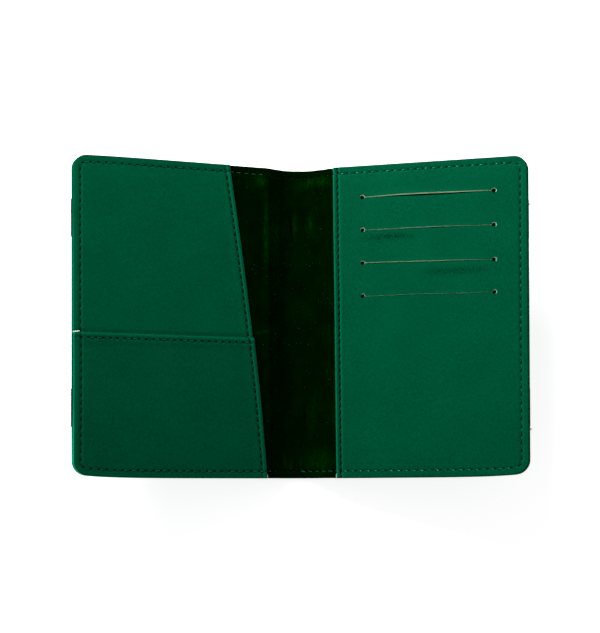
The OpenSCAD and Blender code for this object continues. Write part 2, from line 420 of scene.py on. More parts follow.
def left_face(u, v):
    """The highest face of the left cover at a place."""
    past_hem = slant_distance(u, v)
    without_small = np.where(past_hem > 0, slanted_face(u, v), lining_face(LEFT, u, v))
    return np.where((v < SMALL_V) & (past_hem > -SMALL_LIP), small_face(u, v), without_small)


def right_face(u, v):
    return np.where(u > card_u(v), card_face(u, v), lining_face(RIGHT, u, v))


def outer_face(u, v):
    """The lowest face of either cover at a place."""
    on_band = np.minimum(*(np.abs(v - middle) for middle in BAND_V.values())) < BAND_W / 2
    return np.where(on_band, SKIN_UNDER - BAND_T, skin_face(u, v))


INNER_FACE = {LEFT: left_face, RIGHT: right_face}


# ---------------- node helpers
class Nodes:
    """Short ways to write a material's nodes. An input is a socket or a constant."""

    def __init__(self, name):
        self.material = bpy.data.materials.new(name)
        self.material.use_nodes = True
        self.tree = self.material.node_tree
        self.shader = self.tree.nodes["Principled BSDF"]

    def put(self, socket, value):
        if isinstance(value, bpy.types.NodeSocket):
            self.tree.links.new(value, socket)
        else:
            socket.default_value = value

    def add(self, kind, inputs=None, **settings):
        node = self.tree.nodes.new(kind)
        for key, value in settings.items():
            setattr(node, key, value)
        for key, value in (inputs or {}).items():
            self.put(node.inputs[key], value)
        return node

    def math(self, operation, *values, clamp=False):
        node = self.add("ShaderNodeMath", operation=operation, use_clamp=clamp)
        for socket, value in zip(node.inputs, values):
            self.put(socket, value)
        return node.outputs[0]

    def plus(self, first, second):
        return self.math("ADD", first, second)

    def minus(self, first, second):
        return self.math("SUBTRACT", first, second)

    def times(self, first, second, clamp=False):
        return self.math("MULTIPLY", first, second, clamp=clamp)

    def attribute(self, name):
        return self.add("ShaderNodeAttribute", attribute_name=name).outputs["Vector"]

    def parts(self, vector):
        return self.add("ShaderNodeSeparateXYZ", {0: vector}).outputs

    def scaled(self, vector, scale, turn=0.0):
        return self.add(
            "ShaderNodeMapping", {"Vector": vector, "Scale": scale, "Rotation": (0, 0, turn)}
        ).outputs[0]

    def noise(self, vector, scale, detail=3.0, roughness=0.55, distortion=0.0):
        inputs = {"Vector": vector, "Scale": scale, "Detail": detail}
        inputs |= {"Roughness": roughness, "Distortion": distortion}
        return self.add("ShaderNodeTexNoise", inputs).outputs["Fac"]

    def smooth(self, value, low, high, start=0.0, end=1.0):
        inputs = {"Value": value, "From Min": low, "From Max": high, "To Min": start, "To Max": end}
        return self.add("ShaderNodeMapRange", inputs, interpolation_type="SMOOTHSTEP").outputs["Result"]

    def mix(self, factor, first, second):
        node = self.add("ShaderNodeMix", {"Factor": factor, "A": first, "B": second}, data_type="RGBA")
        return node.outputs["Result"]

    def between(self, value, low, high, first, second):
        """A colour that goes from one to another as the value goes from low to high."""
        return self.mix(self.smooth(value, low, high), rgb(*first), rgb(*second))

    def over(self, color, other, share):
        """The colour, covered by another to a share."""
        return self.mix(share, color, rgb(*other))

    def bump(self, height, distance, strength=1.0, normal=None):
        inputs = {"Strength": strength, "Distance": distance * MM, "Height": height}
        if normal is not None:
            inputs["Normal"] = normal
        return self.add("ShaderNodeBump", inputs).outputs[0]

    def finish(self, color, roughness, normal=None, **fixed):
        for key, value in {"Base Color": color, "Roughness": roughness, "Normal": normal, **fixed}.items():
            if value is not None:
                self.put(self.shader.inputs[key.replace("_", " ")], value)
        return self.material


def rgb(red, green, blue):
    """A colour given in sRGB from 0 to 255, as the linear values that a socket takes."""
    values = [c / 255 for c in (red, green, blue)]
    return tuple(c / 12.92 if c <= 0.04045 else ((c + 0.055) / 1.055) ** 2.4 for c in values) + (1.0,)


# ---------------- materials
HOLE_L, HOLE_W = 0.66, 0.23
SEAM_PITCH = {"seam_edge": EDGE_STITCH, "seam_hem": HEM_STITCH, "seam_top": HEM_STITCH}
HOLE_TURN = {"seam_edge": math.radians(16), "seam_hem": math.radians(-12), "seam_top": math.radians(24)}
HEM_SIDE = {"seam_hem": -1, "seam_top": 1}
HEM_PAINTED_HIGHLIGHT = {"seam_hem": 0.6, "seam_top": 0.0}
HEM_LONGER = {"seam_hem": 1.0, "seam_top": 1.3}
SPECULAR_GREEN = (0.0, 1.0, 0.62, 1.0)


def needle_marks(n, name, longer=1.0, wider=1.0):
    """Two masks along a seam: the needle holes, and the pucker that the thread pulls between them."""
    along, outside, lean = n.parts(n.attribute(name))
    phase = n.minus(n.math("FRACT", n.plus(along, 0.5)), 0.5)
    stretch = n.plus(1.0, n.times(n.math("ABSOLUTE", lean), 0.4))
    offset = n.math("DIVIDE", n.times(phase, SEAM_PITCH[name]), stretch)
    cos, sin = math.cos(HOLE_TURN[name]), math.sin(HOLE_TURN[name])
    length, width = HOLE_L * longer, HOLE_W * wider
    long = n.plus(n.times(offset, cos / length), n.times(outside, sin / length))
    wide = n.minus(n.times(outside, cos / width), n.times(offset, sin / width))
    hole = n.smooth(n.plus(n.times(long, long), n.times(wide, wide)), 0.75, 1.5, 1.0, 0.0)
    near = n.smooth(n.math("ABSOLUTE", outside), 0.2, 0.7, 1.0, 0.0)
    swing = n.math("COSINE", n.times(phase, 2 * math.pi))
    pucker = n.times(near, n.plus(0.6, n.times(swing, 0.4)))
    return hole, pucker


def seam_lips(n, name, color, painted_gleam, start):
    """A seam along the spine gets painted shade on the lip to its left, and a painted highlight on the lip
    to its right from start outwards, as the light falls from the left."""
    _, outside, lean = n.parts(n.attribute(name))
    right = n.times(outside, n.math("SIGN", lean))
    strength = n.math("ABSOLUTE", lean)
    painted_lip_highlight = n.times(n.smooth(right, start, start + 0.3), n.smooth(right, 0.5, 1.6, painted_gleam, 0.0))
    painted_shade = n.times(n.smooth(right, -0.4, -0.1, 0.4, 0.0), n.smooth(right, -1.5, -0.5))
    # Painted highlight on the lip to the right of a seam along the spine, and painted shade on the lip to
    # its left
    color = n.over(color, (0, 116, 82), n.times(painted_lip_highlight, strength))
    return n.over(color, (0, 48, 20), n.times(painted_shade, strength))


def leatherette(
    name, seams, greens, edge_holes=1.0, hem_holes=1.0, hole_shade=1.0, hem_wider=1.0, rub_marks_and_glint=False
):
    """Coated leatherette: a fine slanting grain, slow clouding, pale specks, a dark painted edge, painted
    highlights on the hems, the fore edges and the seams' right lips, painted shade on the seams' left lips
    and in their grooves, and needle holes darkened with painted shade along its seams."""
    n = Nodes(name)
    flat = n.attribute("flat")
    clouds = n.noise(flat, 0.05, 3.0, 0.6)
    mottle = n.noise(n.scaled(flat, (1.0, 0.6, 1), math.radians(45)), 1.5, 3.0, 0.6, 0.2)
    grain = n.noise(n.scaled(flat, (1.6, 0.8, 1), math.radians(45)), 2.4, 2.0, 0.6)
    pores = n.add("ShaderNodeTexVoronoi", {"Vector": flat, "Scale": 2.4}).outputs["Distance"]
    specks = n.noise(flat, 1.1, 2.0, 0.5)
    shade = n.plus(n.times(mottle, 0.25), n.times(grain, 0.63))
    shade = n.plus(shade, n.times(clouds, 0.12))
    color = n.between(shade, 0.39, 0.61, *greens)
    color = n.over(color, (60, 130, 100), n.smooth(specks, 0.76, 0.8, 0.0, 0.35))
    relief = n.plus(n.times(grain, 0.7), n.times(pores, 0.3))
    normal = n.bump(relief, 0.08, 0.5)
    _, past_seam, lean = n.parts(n.attribute("seam_edge"))
    # Painted highlight on the strip between the seam and the fore edge, strongest on the left cover's fore
    # edge
    painted_highlight = n.times(n.smooth(past_seam, 0.2, SEAM_INSET), n.math("ABSOLUTE", lean))
    color = n.over(color, (0, 112, 78), n.times(painted_highlight, n.smooth(lean, -1.0, 1.0, 0.14, 0.08)))
    # The edge paint laps dark onto the face, except along the left cover's fore edge, which is left light
    # as painted highlight
    painted = n.smooth(past_seam, SEAM_INSET - 0.5, SEAM_INSET - 0.2, 0.0, 0.6)
    color = n.over(color, (0, 40, 22), n.times(painted, n.smooth(lean, -1.0, -0.3)))
    if rub_marks_and_glint:
        scuff, _, _ = n.parts(n.attribute("rub_marks_and_glint"))
        broken = n.smooth(n.noise(n.scaled(flat, (0.7, 1.5, 1)), 1.5, 3.0, 0.7), 0.44, 0.6)
        color = n.over(color, (0, 28, 12), n.times(scuff, broken))
    for seam in seams:
        if seam in HEM_SIDE:
            _, outside, lean = n.parts(n.attribute(seam))
            to_edge = n.times(outside, HEM_SIDE[seam])
            # Painted highlight along the turned edge of a hem
            painted_gleam = n.smooth(to_edge, HEM_INSET - 1.1, HEM_INSET - 0.4, 0.0, HEM_PAINTED_HIGHLIGHT[seam])
            painted_gleam = n.times(painted_gleam, n.smooth(lean, -1.0, 1.0, 0.2, 1.0))
            color = n.over(color, (0, 120, 84), painted_gleam)
        if seam == "seam_edge":
            color = seam_lips(n, seam, color, 0.2, 0.15)
            hole, pucker = needle_marks(n, seam, edge_holes)
        else:
            color = seam_lips(n, seam, color, 0.4, 0.15 * hem_wider)
            hole, pucker = needle_marks(n, seam, hem_holes * HEM_LONGER[seam], hem_wider)
        # Painted shade in the seam's groove and in the needle holes
        color = n.over(color, (0, 36, 16), n.times(pucker, 0.34))
        color = n.over(color, (0, 4, 1), n.times(hole, hole_shade if seam == "seam_edge" else 1.0))
        depth = n.plus(n.times(hole, -1.0), n.times(pucker, -0.3))
        normal = n.bump(depth, 0.25, 0.9, normal)
    roughness = n.smooth(grain, 0.3, 0.7, 0.42, 0.56)
    return n.finish(color, roughness, normal, Specular_IOR_Level=0.035, Specular_Tint=SPECULAR_GREEN)


def edge_paint():
    """The paint over the cut layers, with a painted highlight along the left cover's upper rim, most at
    its tail.
    """
    n = Nodes("edge_paint")
    flat = n.attribute("flat")
    rim, _, _ = n.parts(n.attribute("rim"))
    layers = n.noise(n.scaled(flat, (0.25, 0.25, 5.0)), 1.0, 3.0, 0.6)
    lumps = n.noise(flat, 0.9, 2.0)
    color = n.between(layers, 0.35, 0.65, (0, 50, 26), (0, 74, 46))
    _, v, _ = n.parts(flat)
    # Painted highlight on the left rim: brighter towards the top of the edge, and more so towards the tail
    tail = n.smooth(v, -66.0, -34.0, 1.0, 0.0)
    painted_highlight = n.mix(n.smooth(v, 12.0, 52.0, 1.0, 0.0), rgb(0, 90, 62), rgb(0, 124, 90))
    painted_highlight = n.mix(tail, painted_highlight, rgb(8, 158, 118))
    height = n.plus(rim, n.times(tail, 0.35))
    color = n.mix(n.smooth(height, 0.45, 0.9, 0.0, 0.9), color, painted_highlight)
    return n.finish(color, 0.6, n.bump(lumps, 0.12, 0.6), Specular_IOR_Level=0.0)


def fibrous(name, stretch, scale, detail, low, high, dark, light, roughness, relief):
    """Matted fibres: the knitted backing of the leatherette, where it is cut, and the board."""
    n = Nodes(name)
    fibres = n.noise(n.scaled(n.attribute("flat"), stretch), scale, detail, 0.7)
    color = n.between(fibres, low, high, dark, light)
    return n.finish(color, roughness, n.bump(fibres, 0.1, relief), Specular_IOR_Level=0.1)


def velvet():
    """The near-black green lining: short pile, paler in listed patches, with a painted highlight along the
    left shoulder and painted shade along fold lines.
    """
    n = Nodes("velvet_lining")
    flat = n.attribute("flat")
    nap = n.noise(n.scaled(flat, (0.35, 0.06, 1)), 1.0, 5.0, 0.7, 0.6)
    pile = n.noise(flat, 3.2, 3.0, 0.75)
    tone = n.noise(flat, 0.09, 3.0, 0.6)
    specks = n.noise(flat, 1.6, 2.0, 0.5)
    paler, darker, _ = n.parts(n.attribute("pile_marks"))
    shade = n.plus(n.times(nap, 0.3), n.times(tone, 0.7))
    color = n.between(shade, 0.4, 0.68, (0, 9, 0), (0, 17, 0))
    color = n.over(color, (0, 22, 0), n.smooth(pile, 0.4, 0.75, 0.0, 0.4))
    streaks = n.noise(n.scaled(flat, (0.9, 0.3, 1)), 1.0, 4.0, 0.7)
    broken = n.times(n.smooth(pile, 0.35, 0.6, 0.35, 1.0), n.smooth(streaks, 0.36, 0.6, 0.15, 1.15))
    # Paler in the listed patches, partly a painted highlight along the left shoulder, and painted shade
    # along fold lines
    color = n.over(color, (2, 58, 2), n.times(paler, broken, clamp=True))
    color = n.over(color, (0, 2, 0), darker)
    color = n.over(color, (52, 74, 40), n.smooth(specks, 0.71, 0.75, 0.0, 0.8))
    hole, pucker = needle_marks(n, "seam_edge")
    # Painted shade in the needle holes
    color = n.over(color, (0, 3, 0), hole)
    normal = n.bump(n.times(pucker, -1.0), 0.2, 0.8, n.bump(pile, 0.14, 0.8))
    sheen = {"Sheen_Weight": 0.015, "Sheen_Roughness": 0.5, "Sheen_Tint": rgb(0, 120, 30)}
    return n.finish(color, 0.95, normal, Specular_IOR_Level=0.0, **sheen)


def thread_fibre(name, light, dark, glint, painted_shade=0.0):
    """Twisted polyester, of uneven tone. The end that rises out of its hole carries a painted glint, and
    stitches that run along the spine may carry painted shade."""
    n = Nodes(name)
    place_in_mm = n.scaled(n.add("ShaderNodeTexCoord").outputs["Object"], (1 / MM, 1 / MM, 1 / MM))
    fibres = n.noise(place_in_mm, 5.0, 3.0, 0.7)
    tone = n.noise(place_in_mm, 0.25, 2.0)
    color = n.between(tone, 0.35, 0.65, dark, light)
    share, crossways, _ = n.parts(n.attribute("share"))
    # A painted glint on the end that rises out of the hole, and painted shade on stitches along the spine
    rub_marks_and_glint = n.times(n.smooth(share, 0.1, 0.22), n.smooth(share, 0.3, 0.46, 1.0, 0.0))
    rub_marks_and_glint = n.times(rub_marks_and_glint, crossways)
    color = n.over(color, (2, 40, 22), n.smooth(crossways, 0.3, 0.95, painted_shade, 0.0))
    uneven = n.smooth(n.noise(place_in_mm, 0.31, 2.0), 0.38, 0.66, 0.15, 1.0)
    color = n.over(color, glint, n.times(rub_marks_and_glint, uneven))
    return n.finish(
        color, n.smooth(fibres, 0.3, 0.7, 0.3, 0.5), n.bump(fibres, 0.06, 0.7),
        Specular_IOR_Level=0.2, Specular_Tint=(0.0, 1.0, 0.75, 1.0),
    )


def elastic():
    """Woven elastic: ribs along the band, and the fine crossing threads between them."""
    n = Nodes("black_elastic")
    flat = n.attribute("flat")
    x, y, _ = n.parts(flat)
    weft = n.math("SINE", n.times(x, 2 * math.pi / 0.55))
    ribs = n.math("SINE", n.times(y, 2 * math.pi / RIB_STEP))
    weave = n.times(weft, n.plus(0.6, n.times(ribs, 0.4)))
    fuzz = n.noise(flat, 4.0, 4.0, 0.75)
    height = n.plus(n.times(weave, 0.5), fuzz)
    color = n.between(height, 0.0, 1.0, (6, 5, 6), (26, 23, 25))
    return n.finish(color, 0.85, n.bump(height, 0.12, 0.9), Specular_IOR_Level=0.03, Sheen_Weight=0.01)


def taffeta():
    """Thin plain-woven pocket cloth."""
    n = Nodes("pocket_taffeta")
    flat = n.attribute("flat")
    x, y, _ = n.parts(flat)
    warp, weft = (n.math("SINE", n.times(way, 2 * math.pi / 0.24)) for way in (x, y))
    weave = n.times(warp, weft)
    shade = n.plus(n.times(weave, 0.2), n.noise(flat, 0.3, 2.0))
    color = n.between(shade, 0.3, 0.75, (0, 14, 22), (1, 34, 44))
    return n.finish(color, 0.7, n.bump(weave, 0.03, 0.6), Specular_IOR_Level=0.05)



# The small pocket's greens are a little darker than the rest, as painted shade
GREENS, SMALL_SHADED_GREENS = ((0, 59, 36), (0, 78, 50)), ((0, 56, 34), (0, 75, 48))
EDGE_PAINT, CLOTH, ELASTIC, VELVET = edge_paint(), taffeta(), elastic(), velvet()
RAW = fibrous(
    "raw_backing", (1.6, 3.5, 3.5), 2.0, 4.0, 0.3, 0.7, (182, 200, 168), (232, 242, 218), 0.85, 0.7
)
BOARD = fibrous(
    "bonded_board", (0.8, 2.6, 6.0), 1.0, 5.0, 0.35, 0.65, (112, 92, 66), (164, 142, 110), 0.9, 0.6
)
# The fourth colour of each thread is its painted glint, and a number after it sets painted shade on
# stitches along the spine
THREAD = thread_fibre("green_thread", (0, 78, 52), (0, 60, 38), (4, 112, 80), painted_shade=0.6)
CARD_HEM_THREAD = thread_fibre("card_hem_thread", (0, 60, 38), (0, 40, 24), (40, 120, 92), painted_shade=0.8)
CARD_THREAD = thread_fibre("card_panel_thread", (0, 84, 58), (0, 66, 42), (50, 184, 146))
LINING_THREAD = thread_fibre("lining_thread", (4, 80, 58), (0, 48, 34), (20, 128, 96))
BLACK_THREAD = thread_fibre("black_thread", (30, 30, 32), (10, 10, 11), (20, 20, 21))
SKIN_LEATHER = leatherette("skin_leatherette", ["seam_edge"], GREENS)
SLANTED_LEATHER = leatherette(
    "slanted_pocket_leatherette", ["seam_edge", "seam_hem"], GREENS,
    edge_holes=1.25, hem_holes=0.95, hem_wider=1.25,
)
SMALL_LEATHER = leatherette(
    "small_pocket_leatherette", ["seam_edge", "seam_hem", "seam_top"], SMALL_SHADED_GREENS,
    edge_holes=1.25, hem_holes=1.05, hem_wider=1.25,
)
CARD_LEATHER = leatherette(
    "card_panel_leatherette", ["seam_edge", "seam_hem"], GREENS,
    hem_holes=1.6, hole_shade=0.72, hem_wider=1.45, rub_marks_and_glint=True,
)


# ---------------- mesh builders
def store(mesh, key, values):
    """Keeps a vector for each vertex, which the materials read."""
    attribute = mesh.attributes.get(key) or mesh.attributes.new(key, "FLOAT_VECTOR", "POINT")
    attribute.data.foreach_set("vector", np.asarray(values, np.float32).reshape(-1))


def make_object(name, points, faces, materials, face_materials=None, attributes=None, sharp=0.9):
    """An object of smooth faces, with an edge wherever they meet at more than sharp radians."""
    mesh = bpy.data.meshes.new(name)
    mesh.from_pydata([tuple(p) for p in points], [], faces)
    for material in materials:
        mesh.materials.append(material)
    if face_materials is not None:
        mesh.polygons.foreach_set("material_index", np.asarray(face_materials, np.int32))
    for key, values in (attributes or {}).items():
        store(mesh, key, values)
    mesh.shade_smooth()
    mesh.set_sharp_from_angle(angle=sharp)
    mesh.update()
    piece = bpy.data.objects.new(name, mesh)
    bpy.context.scene.collection.objects.link(piece)
    return piece


def sheet_faces(rows, columns, flip):
    """The faces of a closed sheet between two grids of points, and a number for each: 0 on the upper
    grid, 1 on the rim and 2 on the under grid."""
    count = rows * columns
    index = np.arange(count).reshape(rows, columns)
    corners = (index[:-1, :-1], index[:-1, 1:], index[1:, 1:], index[1:, :-1])
    grid = np.stack(corners, axis=-1).reshape(-1, 4)
    loop = np.array([*index[0], *index[1:, -1], *index[-1, -2::-1], *index[-2:0:-1, 0]])
    after = np.roll(loop, -1)
    rim = np.stack([loop, loop + count, after + count, after], axis=-1)
    faces = np.concatenate([grid, (grid + count)[:, ::-1], rim])
    kinds = np.repeat([0, 2, 1], [len(grid), len(grid), len(rim)])
    return (faces[:, ::-1] if flip else faces).tolist(), kinds


def tube_faces(rings, sides, start=0):
    """The faces of a closed tube of rings of points, of which the first has the number start."""
    index = start + np.arange(rings * sides).reshape(rings, sides)
    after = np.roll(index, -1, axis=1)
    walls = np.stack([index[:-1], after[:-1], after[1:], index[1:]], axis=-1).reshape(-1, 4)
    return [*walls.tolist(), index[0, ::-1].tolist(), index[-1].tolist()]


def unit(vectors):
    return vectors / np.linalg.norm(vectors, axis=1, keepdims=True)


def rings_round(line, across, up, radius, sides):
    """Rings of points round a line in metres, in the planes of the directions across and up."""
    turn = 2 * math.pi * np.arange(sides) / sides
    across, up = across[:, None, :], up[:, None, :]
    outward = np.cos(turn)[None, :, None] * across + np.sin(turn)[None, :, None] * up
    return line[:, None, :] + radius * MM * outward


def slab(name, side, u, v, top, under, materials, seams=None):
    """A closed sheet between two faces over a grid of places. Its materials are for its upper face, its
    edge and its under face."""
    faces, kinds = sheet_faces(*u.shape, side == LEFT)
    points = np.concatenate([place(side, u, v, w).reshape(-1, 3) for w in (top, under)])
    flat = np.stack([np.stack([u, v, w], axis=-1) for w in (top, under)])
    attributes = {"flat": flat.reshape(-1, 3)}
    for key, values in seam_values(side, u, v, seams or {}).items():
        attributes[key] = np.concatenate([values.reshape(-1, 3)] * 2)
    return make_object(name, points, faces, materials, kinds, attributes)


# Distances inwards from an outer edge and from a hem, at which a sheet's grid has lines
EDGE_STEPS = np.concatenate([
    [0, 0.04, 0.12, 0.25, 0.45, 0.7, 1, 1.4, 1.8, 2.2],
    SEAM_INSET + np.array([-0.5, -0.25, 0, 0.25, 0.5, 0.9, 1.5, 2.3, 3.4]),
])
HEM_STEPS = np.array([0, 0.03, 0.1, 0.22, 0.4, 0.6, 0.9, 1.3, 1.7, 2.0, 2.3, 2.6, 2.9, 3.4, 4.1, 5, 6])
MIDDLE_STEP, LEAST_STEP = 0.8, 0.01


def filled(start, end, step):
    """Even places strictly between two ends."""
    return np.linspace(start, end, max(2, math.ceil(abs(end - start) / step)) + 1)[1:-1]


def rows_between(low, high, low_steps, high_steps, extra=()):
    lower, upper = low + low_steps, high - high_steps[::-1]
    rows = np.sort(np.concatenate([lower, filled(lower[-1], upper[0], MIDDLE_STEP), upper, extra]))
    return rows[np.concatenate([[True], np.diff(rows) > LEAST_STEP])]


def cover_grid(start_u, start_steps, rows, inset=0.0):
    """A grid from a line near the fold to the fore edge, packed close at both ends of each row."""
    near, far = start_u[:, None] + start_steps, fore_edge(rows)[:, None] - inset - EDGE_STEPS[::-1]
    count = math.ceil(float((far[:, 0] - near[:, -1]).max()) / MIDDLE_STEP)
    share = np.linspace(0, 1, count + 1)[1:-1]
    u = np.concatenate([near, near[:, -1:] + (far[:, :1] - near[:, -1:]) * share, far], axis=1)
    return u, np.repeat(rows[:, None], u.shape[1], axis=1)


FULL_ROWS = rows_between(-HALF_H, HALF_H, EDGE_STEPS, EDGE_STEPS)


# ---------------- the sheets
BEND_START_U, BEND_END_U = -7.0, 2.4


def crosses_fold(piece, side, *nodes):
    """A piece that crosses the fold, where the soft sheets bend between the spine and a cover, mostly on
    the spine's side of the fold: it is baked in place, and the frame's parts that it stands for are hidden.
    """
    start, end = (Vector(place(side, u, 0.0, 0.0)) for u in (BEND_START_U, BEND_END_U))
    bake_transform(piece)
    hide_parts(*nodes)
    return piece


def rides(piece, side, slot, *nodes):
    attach(piece, COVER[side])
    if nodes:
        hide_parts(*nodes)
    return piece


def whole_sheet(name, side, face, back, materials, node):
    """A sheet from the middle of the spine to the fore edge."""
    past_fold, step = 7, 0.7
    start = np.full(len(FULL_ROWS), -FOLD_S)
    u, v = cover_grid(start, np.arange(0, FOLD_S + past_fold, step), FULL_ROWS)
    piece = slab(name, side, u, v, face(u, v), back(u, v), materials, {"seam_edge": perimeter_seam})
    crosses_fold(piece, side, f"spine_{node}", f"{SIDE_NAME[side]}_{node}")
    return piece


def make_skin(side):
    return whole_sheet(
        f"{SIDE_NAME[side]}_half_skin", side, lambda u, v: np.full_like(u, SKIN_TOP), skin_face,
        (SKIN_LEATHER, EDGE_PAINT, SKIN_LEATHER), "skin",
    )


# Paler patches of the pile, some of them a painted highlight along the left shoulder, and darker lines that
# are painted shade in folds: x, y, half width, half length, turn in degrees, and strength, which is below 0
# where it is darker
PILE_PATCHES = (
    (-14.9, 41, 0.9, 14, 0, 0.48), (-12.0, 40, 3.5, 10, 0, 0.18), (-17.2, 64, 2.4, 2.0, -30, 0.5),
    (0.6, 64, 1.4, 2.0, 10, 0.4), (5.0, 64.8, 2.4, 2.0, 20, 0.5), (11.0, 65, 3.0, 2.2, -20, 0.45),
    (-3.3, 44, 0.5, 7, 2, -0.95), (-1.7, 45, 1.1, 5, 0, 0.28), (5.2, 45, 1.3, 5, 0, 0.25),
    (2.5, -41, 0.4, 6, 3, -0.9), (6.0, -40, 2.5, 9, 0, 0.15), (-6.5, -63, 0.9, 3, 8, 0.3),
    (-3.6, -64, 0.6, 2.4, 0, 0.35), (0.8, -63, 0.6, 2.6, -6, 0.3), (9.5, -63, 5.0, 5, 0, 0.35),
    (-17.5, -4.9, 4.0, 0.45, 15, 0.5),
)


def pile_patches(x, y):
    """How much paler and how much darker the pile is at a place, each from 0 to 1."""
    tones = np.zeros((len(x), 3))
    for spot_x, spot_y, half_x, half_y, turn, strength in PILE_PATCHES:
        cos, sin = math.cos(math.radians(turn)), math.sin(math.radians(turn))
        dx, dy = x - spot_x, y - spot_y
        across, along = (dx * cos + dy * sin) / half_x, (dy * cos - dx * sin) / half_y
        tone = tones[:, 0 if strength > 0 else 1]
        np.maximum(tone, abs(strength) * np.exp(-(across**2) - along**2), out=tone)
    return tones


def make_lining(side):
    piece = whole_sheet(
        f"{SIDE_NAME[side]}_half_lining", side, lambda u, v: lining_face(side, u, v),
        lambda u, v: np.maximum(lining_face(side, u, v) - LINING_T, SKIN_TOP + GLUE_GAP),
        (VELVET,) * 3, "lining",
    )
    points = np.array([vertex.co for vertex in piece.data.vertices]) / MM
    store(piece.data, "pile_marks", pile_patches(points[:, 0], points[:, 1]))
    return piece


def make_painted_edge(side):
    """The paint that seals the cut layers round a cover, as a thin rounded strip."""
    seam, steps, levels = perimeter_seam, 520, 9
    sunk, outset, bulge, behind = 0.12, 0.02, 0.06, 0.25
    start = FOLD_S + (SLANT_TAIL_U if side == LEFT else CARD_U - CARD_LEAN)
    length = seam.length - 2 * start
    places = np.array([seam.point(start + length * k / steps) for k in range(steps + 1)])
    seam_u, seam_v, direction = places.T

    def beside_seam(distance):
        return seam_u - distance * np.sin(direction), seam_v + distance * np.cos(direction)

    inner = beside_seam(SEAM_INSET - 0.3)
    top, under = INNER_FACE[side](*inner) - sunk, skin_face(*inner) + sunk
    section = [
        (SEAM_INSET + outset + bulge * math.sin(math.pi * share), share)
        for share in np.linspace(0, 1, levels)
    ]
    section += [(SEAM_INSET - behind, 1.0), (SEAM_INSET - behind, 0.0)]
    lines = [(*beside_seam(distance), under + (top - under) * share) for distance, share in section]
    flat = np.moveaxis(np.array(lines), (0, 1, 2), (1, 2, 0))
    rim = np.zeros_like(flat)
    # Only the left cover's edge gets the rim share, which the edge paint turns into a painted highlight
    if side == LEFT:
        rim[..., 0] = [share for _, share in section]
    faces = tube_faces(len(places), len(section))
    if side == LEFT:
        faces = [face[::-1] for face in faces]
    piece = make_object(
        f"{SIDE_NAME[side]}_painted_edge", place(side, *np.moveaxis(flat, -1, 0)).reshape(-1, 3), faces,
        [EDGE_PAINT], None, {"flat": flat.reshape(-1, 3), "rim": rim.reshape(-1, 3)}, 1.2,
    )
    return rides(piece, side, "green_leatherette")


def make_board(side):
    inset, start_u, glue = 0.25, 2.4, 0.12
    rows = rows_between(inset - HALF_H, HALF_H - inset, EDGE_STEPS[:-1], EDGE_STEPS[:-1])
    u, v = cover_grid(np.full(len(rows), start_u), np.array([0, 0.3, 1.0]), rows, inset)
    top, under = np.full_like(u, BOARD_TOP - glue), np.full_like(u, SKIN_TOP + GLUE_GAP)
    piece = slab(f"{SIDE_NAME[side]}_stiffener", side, u, v, top, under, (BOARD, EDGE_PAINT, BOARD))
    return rides(piece, side, "stiffener_board", f"{SIDE_NAME[side]}_board")


def panel(name, side, rows, start_u, face, base, leather, seams, slack=0.3):
    """A pocket's panel. Its under face lies on its base along the sewn rim, and above it inside."""
    u, v = cover_grid(start_u, HEM_STEPS, rows)
    top = face(u, v)
    under = base(u, v) + slack * soft(edge_distance(u, v), SEAM_INSET, 5.8) + GLUE_GAP
    return slab(name, side, u, v, top, np.minimum(top - 0.35, under), (leather, EDGE_PAINT, RAW), seams)


def on_linings(u, v):
    return np.full_like(u, LINING_TOP)


def make_slanted_pocket():
    seams = {"seam_edge": perimeter_seam, "seam_hem": slanted_seam}
    piece = panel(
        "slanted_pocket_panel", LEFT, FULL_ROWS, slant_u(FULL_ROWS), slanted_face, on_linings,
        SLANTED_LEATHER, seams,
    )
    return rides(piece, LEFT, "green_leatherette", "slanted_pocket")


def make_small_pocket():
    rows = rows_between(-HALF_H, SMALL_V, EDGE_STEPS, HEM_STEPS)
    seams = {"seam_edge": perimeter_seam, "seam_hem": slanted_seam, "seam_top": small_seam}
    piece = panel(
        "small_pocket_panel", LEFT, rows, slant_u(rows) - SMALL_LIP, small_face, slanted_face,
        SMALL_LEATHER, seams,
    )
    return rides(piece, LEFT, "green_leatherette", "small_pocket")


